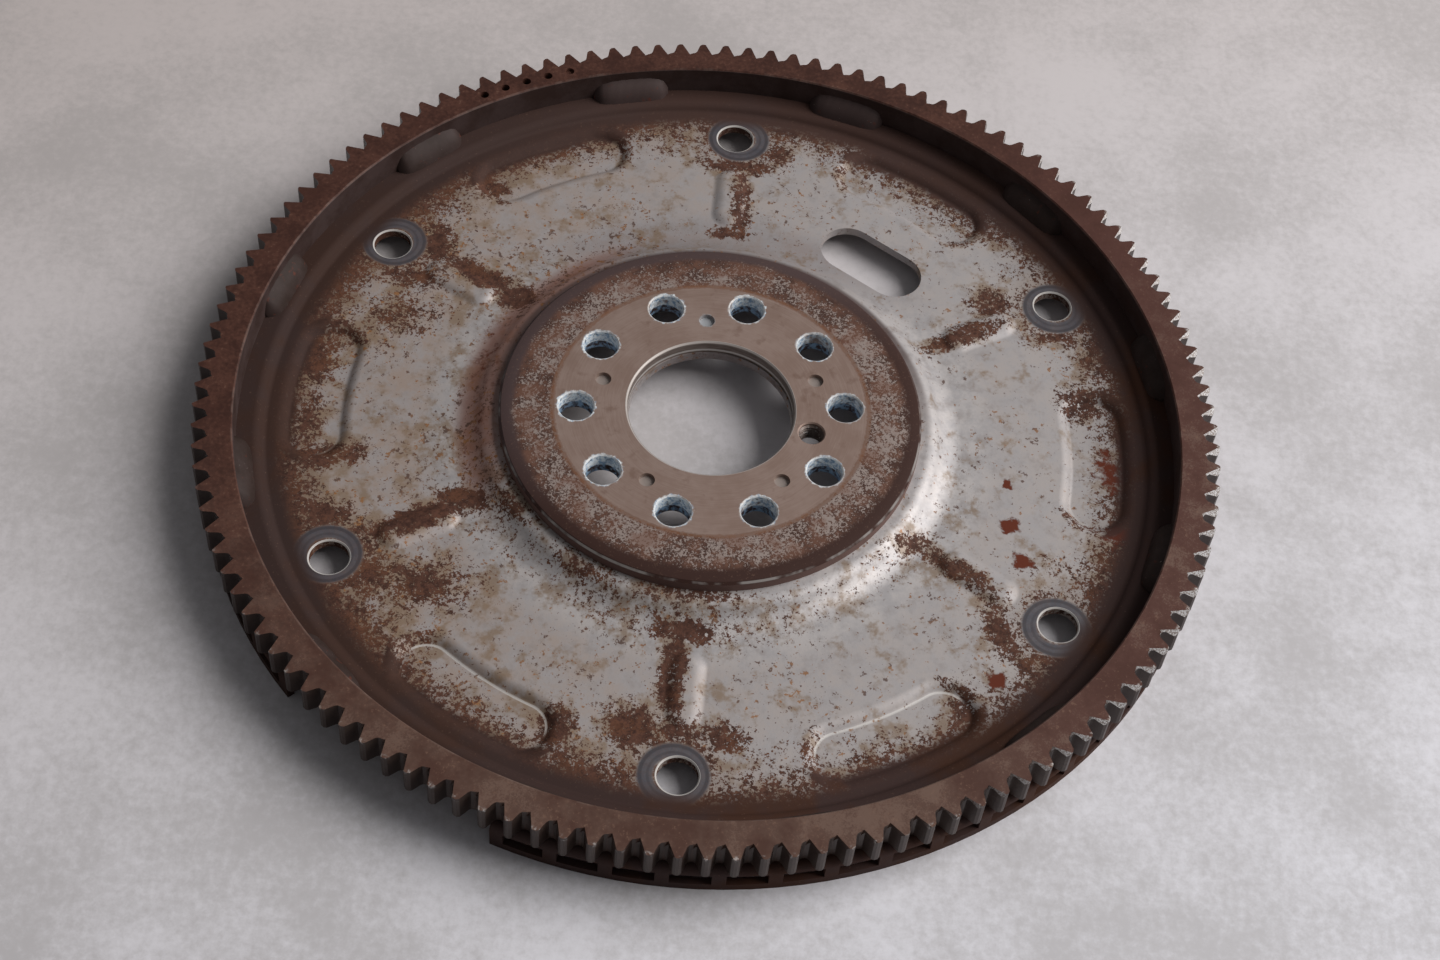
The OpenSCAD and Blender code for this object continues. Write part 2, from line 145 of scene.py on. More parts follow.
class Graph:
    """The nodes of one material, with places and sizes in the part's millimetres."""

    def __init__(self, name):
        self.material = bpy.data.materials.new(name)
        self.material.use_nodes = True
        self.tree = self.material.node_tree
        self.tree.nodes.clear()
        self.output = self.tree.nodes.new("ShaderNodeOutputMaterial")
        coords = self.tree.nodes.new("ShaderNodeTexCoord")
        self.place = self.vector("SCALE", coords.outputs["Object"], scale=1.0 / MM)
        self.x, self.y, self.z = self.split(self.place)
        self.r = (self.x * self.x + self.y * self.y).root()
        self.angle = self.math("ARCTAN2", self.y, self.x) * (1.0 / DEGREE)

    def put(self, socket, value):
        if isinstance(value, Value):
            self.tree.links.new(value.socket, socket)
        elif isinstance(value, bpy.types.NodeSocket):
            self.tree.links.new(value, socket)
        elif isinstance(value, tuple) and len(socket.default_value) == 4:
            socket.default_value = (*value, 1.0)
        else:
            socket.default_value = value

    def math(self, operation, *values):
        n = self.tree.nodes.new("ShaderNodeMath")
        n.operation = operation
        for socket, value in zip(n.inputs, values):
            self.put(socket, value)
        return Value(self, n.outputs[0])

    def vector(self, operation, *values, scale=None):
        n = self.tree.nodes.new("ShaderNodeVectorMath")
        n.operation = operation
        for socket, value in zip(n.inputs, values):
            self.put(socket, value)
        if scale is not None:
            n.inputs["Scale"].default_value = scale
        return n.outputs["Value"] if operation == "LENGTH" else n.outputs["Vector"]

    def split(self, vector):
        n = self.tree.nodes.new("ShaderNodeSeparateXYZ")
        self.put(n.inputs[0], vector)
        return [Value(self, s) for s in n.outputs]

    def smooth(self, value, low, high):
        n = self.tree.nodes.new("ShaderNodeMapRange")
        n.interpolation_type = "SMOOTHSTEP"
        self.put(n.inputs["Value"], value)
        n.inputs["From Min"].default_value = min(low, high)
        n.inputs["From Max"].default_value = max(low, high)
        n.inputs["To Min"].default_value = 1.0 if low > high else 0.0
        n.inputs["To Max"].default_value = 0.0 if low > high else 1.0
        return Value(self, n.outputs["Result"])

    def noise_node(self, size, detail, rough, shift, place):
        n = self.tree.nodes.new("ShaderNodeTexNoise")
        n.noise_dimensions = "4D"
        self.put(n.inputs["Vector"], place or self.place)
        n.inputs["W"].default_value = shift
        n.inputs["Scale"].default_value = 1.0 / size
        n.inputs["Detail"].default_value = detail
        n.inputs["Roughness"].default_value = rough
        return n

    def noise(self, size, shift, detail=3.0, rough=0.6, place=None):
        """Noise whose blotches are about size millimetres across, from 0 to 1 about 0.5."""
        return Value(self, self.noise_node(size, detail, rough, shift, place).outputs["Fac"])

    def warp(self, size, amount, shift):
        """The place, pushed about by up to half of amount, for ragged edges."""
        n = self.noise_node(size, 3.0, 0.6, shift, None)
        push = self.vector("SUBTRACT", n.outputs["Color"], (0.5, 0.5, 0.5))
        return self.vector("MULTIPLY_ADD", push, (amount, amount, amount), self.place)

    def stretched(self, along, across):
        """The place in turned coordinates, in which noise runs along circles about the axis."""
        n = self.tree.nodes.new("ShaderNodeCombineXYZ")
        self.put(n.inputs[0], self.r * (1.0 / across))
        self.put(n.inputs[1], self.angle * (1.0 / along))
        self.put(n.inputs[2], self.z * (1.0 / across))
        return n.outputs[0]

    def patches(self, rows, place):
        """The strongest of several ovals: x, y, half length, half width, turn, strength."""
        best = None
        for x, y, length, width, turn, strength in rows:
            n = self.tree.nodes.new("ShaderNodeMapping")
            n.vector_type = "TEXTURE"
            self.put(n.inputs["Vector"], place)
            n.inputs["Location"].default_value = (x, y, 0.0)
            n.inputs["Rotation"].default_value = (0.0, 0.0, turn * DEGREE)
            n.inputs["Scale"].default_value = (length, width, TIP_R)
            away = self.vector("LENGTH", n.outputs[0])
            oval = self.math("MULTIPLY_ADD", away, -1.1 * strength, 1.6 * strength)
            best = oval if best is None else best.most(oval)
        return best

    def circle(self, r, pitch, clock, shift=0.0):
        """Distance from the nearest point of a bolt circle, moved round by shift."""
        fold = (self.angle - clock).wrap(-pitch / 2.0, pitch / 2.0) * DEGREE
        along = self.r * fold.cos() - r
        across = self.r * fold.sin() - shift
        return (along * along + across * across).root()

    def mix(self, factor, low, high):
        """Colour low where factor is 0 and colour high where it is 1."""
        n = self.tree.nodes.new("ShaderNodeMix")
        n.data_type = "RGBA"
        self.put(n.inputs["Factor"], factor)
        self.put(n.inputs[6], low)
        self.put(n.inputs[7], high)
        return n.outputs[2]

    def facing(self):
        """The three parts of the direction that the surface faces."""
        n = self.tree.nodes.new("ShaderNodeNewGeometry")
        return self.split(n.outputs["True Normal"])

    def bump(self, height, strength, distance):
        n = self.tree.nodes.new("ShaderNodeBump")
        self.put(n.inputs["Height"], height)
        n.inputs["Strength"].default_value = strength
        n.inputs["Distance"].default_value = distance * MM
        return n.outputs["Normal"]

    def surface(self, color, roughness, metallic, normal=None, gloss=0.5):
        n = self.tree.nodes.new("ShaderNodeBsdfPrincipled")
        self.put(n.inputs["Base Color"], color)
        self.put(n.inputs["Roughness"], roughness)
        self.put(n.inputs["Metallic"], metallic)
        self.put(n.inputs["Specular IOR Level"], gloss)
        if normal is not None:
            self.put(n.inputs["Normal"], normal)
        self.tree.links.new(n.outputs[0], self.output.inputs["Surface"])
        return self.material


def srgb(red, green, blue):
    """Linear colour from the usual 0 to 255 values."""
    def channel(c):
        c /= 255.0
        return c / 12.92 if c <= 0.04045 else ((c + 0.055) / 1.055) ** 2.4
    return (channel(red), channel(green), channel(blue))


# Colours
STEEL = srgb(170, 162, 159)
# Brighter steel for the cone, a painted sheen
STEEL_CONE_SHEEN = srgb(188, 182, 180)
STEEL_COOL = srgb(161, 158, 160)
STEEL_WARM = srgb(157, 140, 130)
# Bright steel for painted highlights and glints
STEEL_HIGHLIGHT = srgb(204, 200, 196)
STEEL_BLUE = srgb(80, 79, 86)
# A brown used as painted shade on the back of the cone and as painted light on the outer wall of
# the hub plate
STEEL_BROWN = srgb(112, 88, 82)
STEEL_DULL = srgb(138, 124, 116)
STAIN_TAN = srgb(124, 99, 72)
STAIN_BROWN = srgb(98, 72, 54)
PINK_TONE = srgb(148, 98, 80)
STAIN_SHADE_GREY = srgb(84, 67, 64)
WASHER_DARK = srgb(54, 51, 55)
RUST_DARK = srgb(62, 40, 33)
RUST_MID = srgb(94, 63, 51)
RUST_LIGHT = srgb(112, 72, 48)
RUST_DROP = srgb(82, 56, 45)
RUST_TAN = srgb(128, 100, 84)
RUST_ORANGE = srgb(144, 96, 50)
RUST_RED = srgb(98, 45, 29)
RIM_BROWN = srgb(66, 41, 30)
RIM_PURPLE = srgb(62, 45, 42)
RIM_REAR_LIT = srgb(78, 58, 53)
RIM_LEFT = srgb(50, 36, 32)
RING_DARK = srgb(62, 37, 30)
RING_MID = srgb(86, 55, 45)
RING_DEEP = srgb(70, 42, 34)
RING_FRONT = srgb(98, 75, 65)
RING_RIGHT = srgb(84, 52, 45)
RING_PALE = srgb(114, 91, 80)
RING_EDGE_HIGHLIGHT = srgb(140, 124, 116)
RING_BORE_BROWN = srgb(54, 41, 38)
RING_BORE_GREY = srgb(66, 55, 54)
FLANK_GREY = srgb(56, 49, 45)
FLANK_DARK = srgb(42, 35, 32)
# Bright worn steel, partly painted glints
WEAR_GLINT_GREY = srgb(176, 164, 156)
WEAR_GLINT_WHITE = srgb(246, 244, 242)
HUB_TAN_DARK = srgb(140, 117, 106)
HUB_TAN_LIGHT = srgb(154, 133, 123)
HUB_SMUDGE = srgb(112, 84, 70)
HUB_BARE = srgb(158, 143, 136)
HUB_STAIN = srgb(128, 97, 84)
HUB_RUST_DARK = srgb(68, 46, 39)
HUB_RUST_MID = srgb(102, 71, 58)
HUB_BORDER = srgb(128, 88, 62)
HUB_BORE_DARK = srgb(92, 82, 76)
HUB_BORE_LIGHT = srgb(120, 110, 104)
ROLL_FRONT = srgb(58, 36, 30)
ROLL_REAR = srgb(76, 60, 59)
DIMPLE_STEEL = srgb(160, 150, 144)
RESIDUE_WHITE = srgb(232, 238, 241)
RESIDUE_BLUE = srgb(142, 170, 196)
RESIDUE_PALE = srgb(178, 188, 196)
RESIDUE_DARK = srgb(54, 60, 70)
WELD_DARK = srgb(46, 33, 28)
WELD_MID = srgb(56, 43, 40)
WELD_REAR_LIT = srgb(68, 54, 52)
WELD_GLINT = srgb(170, 160, 154)
THREAD_LIGHT = srgb(104, 93, 87)
THREAD_DARK = srgb(76, 60, 53)
FLOOR_WARM_SHADED = srgb(194, 183, 179)
FLOOR_COOL_LIT = srgb(230, 230, 237)
FLOOR_SHADE = srgb(162, 157, 155)

# Rust patches on the flat of the plate: x, y, half length, half width, turn, strength
PATCHES = (
    # About the rib and the bolt hole at the front
    (-4, -94, 4.5, 16, 0, 1.0),
    (-1, -78, 11, 4.5, 0, 0.8),
    (-14, -112, 9.5, 8.5, 0, 0.75),
    (12, -113, 8, 6.5, 0, 0.75),
    (2, -112, 16, 4, 0, 0.6),
    (0, -126, 20, 12, 0, 0.35),
    # Front right
    (79, -47, 17, 4, -30, 0.85),
    (66, -39, 9, 3.5, 20, 0.6),
    (92, -67, 5.5, 15, 15, 0.75),
    (100, -80, 8, 5, -30, 0.6),
    (104, -42, 14, 7, 0, 0.4),
    (118, -50, 8, 10, 0, 0.45),
    # Rear right
    (80, 46, 17, 4, 30, 0.85),
    (89, 62, 8.5, 8.5, 0, 0.75),
    (110, 49, 12, 4, 10, 0.6),
    (95, 78, 10, 12, 0, 0.4),
    # Rear
    (4, 96, 4, 15, 0, 0.9),
    (1, 82, 8.5, 3, 0, 0.8),
    (2, 113, 17, 4, 0, 0.75),
    (16, 120, 7, 8, 0, 0.6),
    (-22, 118, 9, 6, 0, 0.4),
    # Rear left
    (-79, 53, 16, 4, -28, 0.9),
    (-66, 45, 7, 6, 0, 0.75),
    (-95, 66, 6, 10, 0, 0.7),
    (-102, 50, 12, 6, 0, 0.6),
    (-102, 34, 18, 12, 0, 0.4),
    # Front left
    (-85, -46, 17, 4.5, 28, 0.95),
    (-73, -37, 8, 4, 0, 0.85),
    (-113, -47, 12, 5, 0, 0.65),
    (-97, -68, 7, 10, 0, 0.6),
    (-80, -69, 17, 10, 0, 0.55),
    # At the foot of the cone
    (-57, -42, 9, 14, 40, 0.4),
    (-34, -61, 16, 7, -25, 0.5),
    (0, -66, 22, 5, 0, 0.55),
    # At the sunk pads
    (-80, 94, 8, 5, 0, 0.8),
    (-118, -25, 14, 6, 10, 0.85),
    (-125, -12, 7, 14, 0, 0.6),
    (-126, 12, 8, 14, 0, 0.6),
    (-36, -114, 6, 8, 0, 0.85),
    (81, -95, 6, 9, 0, 0.8),
    (118, 24, 9, 9, 0, 0.75),
    (42, -121, 5, 5, 0, 0.7),
)

# Spots of fresh red rust
RED_SPOTS = (
    (95, -28, 3.2, 3.2, 0, 1.0),
    (98, -41, 2.8, 2.8, 0, 1.0),
    (91, -85, 2.6, 2.6, 0, 1.0),
    (95, -12, 1.6, 1.6, 0, 1.0),
    (127, -2, 5, 9, 0, 0.6),
    (128, -28, 6, 5, 0, 0.6),
    (-72, 10, 7, 30, 0, 0.25),
)


def plate_material():
    g = Graph("plate_steel")
    face_up = g.facing()[2]
    under = face_up.rise(-0.2, -0.6)
    above = 1.0 - under
    wide = g.noise(40.0, 3.1, 2.0, 0.5)
    blot = g.noise(9.0, 7.7)
    grain = g.noise(1.2, 0.4, 3.0, 0.65)
    fine = g.noise(0.5, 1.3, 2.0)
    ragged = (blot - 0.5) * 12.0
    torn = g.warp(5.0, 8.0, 2.2)
    left = g.x.rise(60.0, -110.0)

    # Distance from the middle line of the sunk pads
    pad_fold = (g.angle - SECTOR).wrap(-SECTOR / 2.0, SECTOR / 2.0)
    pad_end = (pad_fold.abs() - PAD_HALF_ANGLE).most(0.0) * (PAD_R * DEGREE)
    pad_off = g.r - PAD_R
    pad_away = (pad_off * pad_off + pad_end * pad_end).root()
    pad_wall = pad_away.band(PAD_FLOOR + PAD_RUN * 0.55, 1.6, 2.2)

    # How rusty each place is, from 0 to 1
    ovals = g.patches(PATCHES, torn)
    outer_wall = pad_wall * (pad_off + ragged * 0.2).rise(2.0, 6.0)
    end_wall = pad_wall * (pad_end + ragged * 0.2).rise(2.0, 6.0) * 0.55
    rim = (g.r + ragged * 0.3).rise(RIM_FOOT_R - 8.0, RIM_FOOT_R - 1.0)
    near_rim = (g.r + ragged).rise(110.0, 137.0) * 0.8
    hole_edge = g.circle(CONVERTER_R, SECTOR, CONVERTER_CLOCK)
    near_hole = (hole_edge + ragged * 0.7).rise(21.0, 9.0) * 0.6
    cone_foot = (g.r + ragged * 0.4).band(CONE_FOOT_R, 4.0, 5.0) * g.y.rise(10.0, -60.0) * 0.3
    density = ovals.most(outer_wall).most(end_wall).most(near_rim).most(near_hole).most(cone_foot)
    density = density.least(0.9) + (wide - 0.5) * 0.6 + left * 0.14 + 0.05
    density = density + under * (blot * 1.2 - 0.3)
    clump = g.noise(3.4, 17.0, 4.0, 0.7)
    lace = (clump * 0.3 + grain * 0.4 + fine * 0.3 + density * 0.2).rise(0.612, 0.645)
    drops = g.noise(1.8, 21.0, 4.0, 0.65) + (fine - 0.5) * 0.2 + left * 0.04
    drops = (drops + (wide - 0.5) * 0.25).rise(0.605, 0.655)
    outer_zone = (pad_off + ragged * 0.3).rise(4.5, 8.0) * (pad_end + ragged * 0.3).rise(9.0, 1.0)
    smooth_rust = rim.most(outer_wall * 0.8).most(outer_zone * 0.9) * (1.0 - under * 0.6)

    # Bare steel with clouds and stains, and painted light, shade and highlights
    cloud = g.noise(5.0, 31.0, 4.0, 0.65)
    cone = g.r.rise(CONE_OUTER_R, CONE_INNER_R)
    # Painted sheen: the cone is a brighter steel. Painted light: the warm tone of the left is kept
    # off the cone, where the hub's shadow falls.
    steel = g.mix(left * (1.0 - cone * 0.8), g.mix(cone, STEEL, STEEL_CONE_SHEEN), STEEL_WARM)
    # Painted shade: the back slope of the cone turns darker brown.
    steel = g.mix(cone * g.y.rise(45.0, 75.0) * 0.5, steel, STEEL_BROWN)
    steel = g.mix((blot * 0.4 + grain * 0.2 + cloud * 0.4).rise(0.4, 0.6) * 0.7, steel, STEEL_COOL)
    steel = g.mix(cloud.rise(0.5, 0.72) * 0.4, steel, STEEL_DULL)
    halo = (g.noise(7.0, 11.0) + density * 0.2 + left * 0.05 + (grain - 0.5) * 0.3).rise(0.54, 0.74)
    steel = g.mix(halo.most(near_hole * 0.7) * 0.72, steel, STAIN_TAN)
    steel = g.mix((g.r + ragged).rise(118.0, 140.0) * (left * 0.5 + 0.35), steel, STAIN_BROWN)
    # A pinkish band on the left of the cone.
    pink_band = g.r.band(PINK_BAND_R, 3.0, 7.0) * (g.y * 0.3 - g.x + ragged).rise(45.0, 66.0) * above
    steel = g.mix(pink_band * 0.75, steel, PINK_TONE)
    # Dark grey on the drive plate at the foot of the hub plate, towards the rear: rust creeping
    # from the joint, partly painted shade.
    creep_and_shade = g.r.rise(CREEP_SHADE_R, CREEP_SHADE_R - 2.0) * g.y.rise(-15.0, 45.0) * above
    steel = g.mix(creep_and_shade * 0.85, steel, STAIN_SHADE_GREY)
    # Painted highlight: a bright line along the foot of each pad's inner wall, towards the front;
    # rust is kept off it below.
    crease_highlight = pad_away.band(PAD_FLOOR + 0.3, 0.2, 0.35) * pad_off.rise(1.0, -3.0)
    crease_highlight = crease_highlight * g.y.rise(0.0, -60.0) * above
    steel = g.mix(crease_highlight * 0.7, steel, STEEL_HIGHLIGHT)
    drop_tone = g.mix(g.noise(5.0, 9.0).rise(0.44, 0.6), RUST_DROP, RUST_ORANGE)
    steel = g.mix(drops * 0.85, steel, drop_tone)
    print_ring = g.circle(CONVERTER_R, SECTOR, CONVERTER_CLOCK, WASHER_SHIFT)
    washer = print_ring.band(WASHER_R, WASHER_HALF_W, 1.3) * face_up.rise(0.8, 0.95)
    steel = g.mix(washer * (cloud * 0.6 + 0.62).least(1.0), steel, STEEL_BLUE)
    turns = print_ring.band(9.6, 0.3, 0.5).most(print_ring.band(7.4, 0.2, 0.4) * 0.7) * washer
    steel = g.mix(turns * 0.6, steel, WASHER_DARK)

    # Rust
    rust = g.mix((g.noise(2.0, 5.0) * 0.6 + fine * 0.4).rise(0.38, 0.62), RUST_DARK, RUST_MID)
    light = (blot + left * 0.06 + (fine - 0.5) * 0.4).rise(0.54, 0.68)
    rust = g.mix(light * 0.35, rust, RUST_LIGHT)
    red = (g.patches(RED_SPOTS, torn) + (clump - 0.5) * 2.4).rise(0.2, 0.75) * above
    rust = g.mix(red * 0.95, rust, RUST_RED)
    cover = lace.most(red) * (1.0 - washer * 0.85) * (1.0 - crease_highlight * 0.8)
    rim_tone = g.mix((blot + (wide - 0.5) * 2.0).rise(0.3, 0.7), RIM_BROWN, RIM_PURPLE)
    # Painted light: the rust of the rim turns lighter towards the rear.
    rim_tone = g.mix(g.y.rise(40.0, 130.0) * 0.7, rim_tone, RIM_REAR_LIT)
    rim_tone = g.mix(left * 0.6, rim_tone, RIM_LEFT)
    rim_tone = g.mix((grain * 0.5 + fine * 0.5).rise(0.58, 0.7) * 0.35, rim_tone, RUST_TAN)
    color = g.mix(cover, steel, rust)
    color = g.mix(smooth_rust, color, rim_tone)
    rusty = cover.most(smooth_rust)

    # Blue thread locker and dark rust on the walls of the crankshaft holes
    wall = g.circle(CRANK_R, CRANK_PITCH, CRANK_CLOCK).rise(6.0, LOCKER_R)
    color = g.mix(wall, color, g.mix(g.noise(1.4, 6.0).rise(0.4, 0.6), RESIDUE_BLUE, RUST_DARK))

    # Painted highlight on the chamfers of the bolt holes
    chamfer_highlight = hole_edge.band(CONVERTER_HOLE_R + 0.2, 0.25, 0.1) * face_up.rise(0.3, 0.6)
    color = g.mix(chamfer_highlight * 0.8, color, STEEL_HIGHLIGHT)

    rough = rusty * 0.2 + 0.57 - cone * 0.05 + (fine - 0.5) * 0.12 - washer * 0.12
    metal = (0.18 + cone * 0.16 - halo * 0.08) * (1.0 - rusty * 0.85) * (1.0 - wall)
    normal = g.bump(fine * 0.4 + grain * 0.6, 0.4, 0.12)
    return g.surface(color, rough, metal, normal, 0.5 - rusty * 0.32)


def ring_material():
    g = Graph("ring_steel")
    face_up = g.facing()[2]
    blot = g.noise(9.0, 2.0)
    grain = g.noise(1.3, 0.3, 3.0, 0.65)
    fine = g.noise(0.5, 1.0, 2.0)
    front = (g.x * 0.5 - g.y).rise(-60.0, 130.0)
    right = g.x.rise(60.0, 130.0)
    rust = g.mix((blot * 0.5 + grain * 0.5).rise(0.38, 0.62), RING_DARK, RING_MID)
    rust = g.mix(front * 0.7, rust, RING_FRONT)
    rust = g.mix(right * 0.8, rust, RING_RIGHT)
    tone = g.noise(14.0, 5.0, 4.0, 0.65)
    rust = g.mix(tone.rise(0.48, 0.64) * 0.6, rust, RING_DEEP)
    rust = g.mix((tone + (fine - 0.5) * 0.4).rise(0.5, 0.36) * front * 0.7, rust, RING_PALE)
    speck = (grain * 0.6 + fine * 0.4 + front * 0.03 + (blot - 0.5) * 0.2).rise(0.59, 0.67)
    rust = g.mix(speck * 0.45, rust, RUST_TAN)
    flank = (1.0 - face_up.abs().rise(0.3, 0.7)) * g.r.rise(ROOT_R - 0.5, ROOT_R + 0.2)
    rust = g.mix(flank * 0.75, rust, g.mix(blot.rise(0.4, 0.6), FLANK_GREY, FLANK_DARK))
    # Bevels on the right and tooth corners on the front and right turn bright: partly wear, partly
    # painted glints.
    bevel = face_up.band(0.45, 0.14, 0.05) * g.r.rise(ROOT_R - 0.8, ROOT_R)
    wear_and_glint = bevel * right * (grain * 0.6 + 0.65)
    corner = g.r.rise(TIP_R - 1.6, TIP_R - 0.4) * (g.z - RING_Z).rise(-1.8, -0.2)
    corner = corner * (front * 0.5 + right * 0.5)
    wear_and_glint = wear_and_glint.most(corner * g.noise(1.6, 7.0).rise(0.5, 0.6) * 0.8).least(1.0)
    color = g.mix(wear_and_glint, rust, g.mix(fine.rise(0.42, 0.58), WEAR_GLINT_GREY, WEAR_GLINT_WHITE))
    bore = g.r.rise(RING_BORE_R + 0.15, RING_BORE_R + 0.03)
    color = g.mix(bore * 0.85, color, g.mix(blot.rise(0.35, 0.65), RING_BORE_BROWN, RING_BORE_GREY))
    # Painted highlight: a faint light line along the inner top edge of the ring.
    edge_highlight = g.r.band(RING_BORE_R + 0.35, 0.2, 0.25) * (g.z - RING_Z + 0.8).rise(0.0, 0.5)
    color = g.mix(edge_highlight * g.noise(6.0, 9.0).rise(0.45, 0.6) * 0.15, color, RING_EDGE_HIGHLIGHT)
    rough = 0.6 + (fine - 0.5) * 0.2 - wear_and_glint * 0.2 - flank * 0.2
    metal = 0.08 + wear_and_glint * 0.3 + flank * 0.25
    normal = g.bump(fine * 0.5 + grain * 0.6, 0.35, 0.12)
    return g.surface(color, rough, metal, normal, 0.22 + flank * 0.3)


def hub_material():
    g = Graph("hub_steel")
    face_up = g.facing()[2]
    blot = g.noise(10.0, 4.0)
    grain = g.noise(0.9, 0.2, 3.0, 0.65)
    fine = g.noise(0.4, 1.7, 2.0)
    smudge = g.noise(6.0, 14.0, 4.0)
    turned = g.noise(1.0, 3.3, 2.0, 0.5, g.stretched(9.0, 0.35))
    rear = (g.y * 0.8 - g.x * 0.6).rise(-20.0, 40.0)
    inside = (g.r + (blot - 0.5) * 0.8).rise(PRINT_R + 0.3, PRINT_R - 0.3)
    border = (g.r + (grain - 0.5) * 1.6).band(PRINT_R + 0.3, 0.35, 0.7)
    band = g.r + (blot - 0.5) * 1.6 + (grain - 0.5) * 2.0
    band = band.rise(HUB_R - ROLL_W - 1.4, HUB_R - ROLL_W + 1.0)
    density = 0.46 + (blot - 0.5) * 0.9 + rear * 0.06 + (g.r - SPECKLED_R).most(0.0) * 0.05
    cover = (grain * 0.6 + fine * 0.4 + density * 0.34).rise(0.625, 0.69) * (1.0 - inside)
    cover = cover.most(border * 0.7).most(band)

    # The tan print of the crankshaft inside, and bare steel between the rust outside
    pale = (blot * 0.5 + turned * 0.3 + smudge * 0.2).rise(0.38, 0.62)
    tan = g.mix(pale, HUB_TAN_DARK, HUB_TAN_LIGHT)
    tan = g.mix(smudge.rise(0.56, 0.7) * 0.5, tan, HUB_SMUDGE)
    bare = g.mix(smudge.rise(0.44, 0.62) * 0.7, HUB_BARE, HUB_STAIN)
    steel = g.mix(inside, bare, tan)
    speck = (grain * 0.5 + fine * 0.5).rise(0.64, 0.70) * inside
    steel = g.mix(speck * 0.5, steel, RUST_MID)
    rust = g.mix((grain * 0.4 + smudge * 0.6).rise(0.42, 0.58), HUB_RUST_DARK, HUB_RUST_MID)
    rust = g.mix(border * 0.5, rust, HUB_BORDER)
    # Rust of the hub's rolled rim, dark red-brown at the front and greyer at the rear, where the
    # grey is a painted reflection.
    roll = g.mix(rear, ROLL_FRONT, ROLL_REAR)
    roll = g.mix((grain * 0.5 + fine * 0.5).rise(0.56, 0.66) * 0.35, roll, RUST_TAN)
    # Painted light: the outer wall of the hub plate is lifted to a lighter brown.
    roll = g.mix(face_up.rise(0.4, 0.1), roll, STEEL_BROWN)
    color = g.mix(cover, steel, g.mix(band, rust, roll))
    # Painted highlight: a bright line on the outer edge of the hub plate at the front.
    rim = g.r.band(HUB_R - 0.35, 0.18, 0.2) * face_up.rise(0.2, 0.5) * g.y.rise(30.0, -20.0)
    color = g.mix(rim * blot.rise(0.4, 0.56) * 0.4, color, STEEL_HIGHLIGHT)
    dimple = g.circle(DIMPLE_R, 2.0 * CRANK_PITCH, CRANK_CLOCK + CRANK_PITCH / 2.0)
    dimple_floor = dimple.rise(2.6, DIMPLE_FLOOR_R) * (g.z - PLATE_Z).rise(-0.4, -0.8)
    color = g.mix(dimple_floor * 0.8, color, DIMPLE_STEEL)
    one_dimple = g.circle(DIMPLE_R, 360.0, CRANK_CLOCK + 2.5 * CRANK_PITCH)
    one_dimple = (one_dimple + (grain - 0.5) * 2.0).rise(3.0, 2.2)
    color = g.mix(one_dimple * 0.6, color, RESIDUE_PALE)

    # Thread locker about the crankshaft holes, thickest on their walls
    hole = g.circle(CRANK_R, CRANK_PITCH, CRANK_CLOCK)
    crust = g.noise(1.6, 6.0)
    residue = (hole + (crust - 0.5) * 3.2).rise(6.4, LOCKER_R)
    residue = residue * (g.noise(14.0, 8.0) * 0.6 + crust * 0.4).rise(0.36, 0.5)
    tint = g.mix(g.noise(1.1, 12.0).rise(0.36, 0.56), RESIDUE_BLUE, RESIDUE_WHITE)
    tint = g.mix(g.noise(2.0, 15.0).rise(0.56, 0.66) * 0.8, tint, RESIDUE_DARK)
    color = g.mix(residue, color, tint)
    # Painted highlights: bright lines on the edges of the crankshaft holes and of the bore.
    hole_rim_highlight = hole.band(CRANK_HOLE_R + 0.25, 0.2, 0.12) * face_up.rise(0.2, 0.5)
    color = g.mix(hole_rim_highlight * 0.5, color, STEEL_HIGHLIGHT)
    bore_rim_highlight = g.r.band(BORE_R + 0.35, 0.3, 0.12) * face_up.rise(0.2, 0.5)
    color = g.mix(bore_rim_highlight * 0.6, color, STEEL_HIGHLIGHT)
    bore = g.r.rise(BORE_R + 0.2, BORE_R + 0.1)
    color = g.mix(bore * 0.8, color, g.mix(turned.rise(0.4, 0.6), HUB_BORE_DARK, HUB_BORE_LIGHT))
    # Painted highlight: a bright line in the bore where the two plates meet.
    joint_highlight = bore * g.z.band(HUB_Z + 1.1, 0.3, 0.25)
    color = g.mix(joint_highlight * 0.8, color, STEEL_HIGHLIGHT)

    rough = cover * 0.25 + 0.5 + (fine - 0.5) * 0.1
    metal = (0.35 - cover * 0.3) * (1.0 - residue)
    normal = g.bump(fine * 0.4 + grain * 0.5, 0.3, 0.1)
    return g.surface(color, rough, metal, normal, 0.45 - cover * 0.2)


def weld_material():
    g = Graph("weld_metal")
    blot = g.noise(5.0, 4.0)
    grain = g.noise(0.8, 0.5, 3.0, 0.65)
    ripple = (g.angle * 5.0 + g.r * 0.7 + blot * 2.0).sin()
    color = g.mix(blot.rise(0.3, 0.7), WELD_DARK, WELD_MID)
    # Painted light: the welds turn lighter towards the rear.
    color = g.mix(g.y.rise(90.0, 145.0), color, WELD_REAR_LIT)
    color = g.mix(g.noise(3.0, 8.0).rise(0.6, 0.72) * 0.6, color, RUST_RED)
    # Painted glints: bright specks on the welds.
    color = g.mix((grain + (blot - 0.5) * 0.3).rise(0.7, 0.76) * 0.6, color, WELD_GLINT)
    normal = g.bump(ripple * 0.12 + grain * 0.5, 0.35, 0.2)
    return g.surface(color, 0.65, 0.06, normal, 0.25)


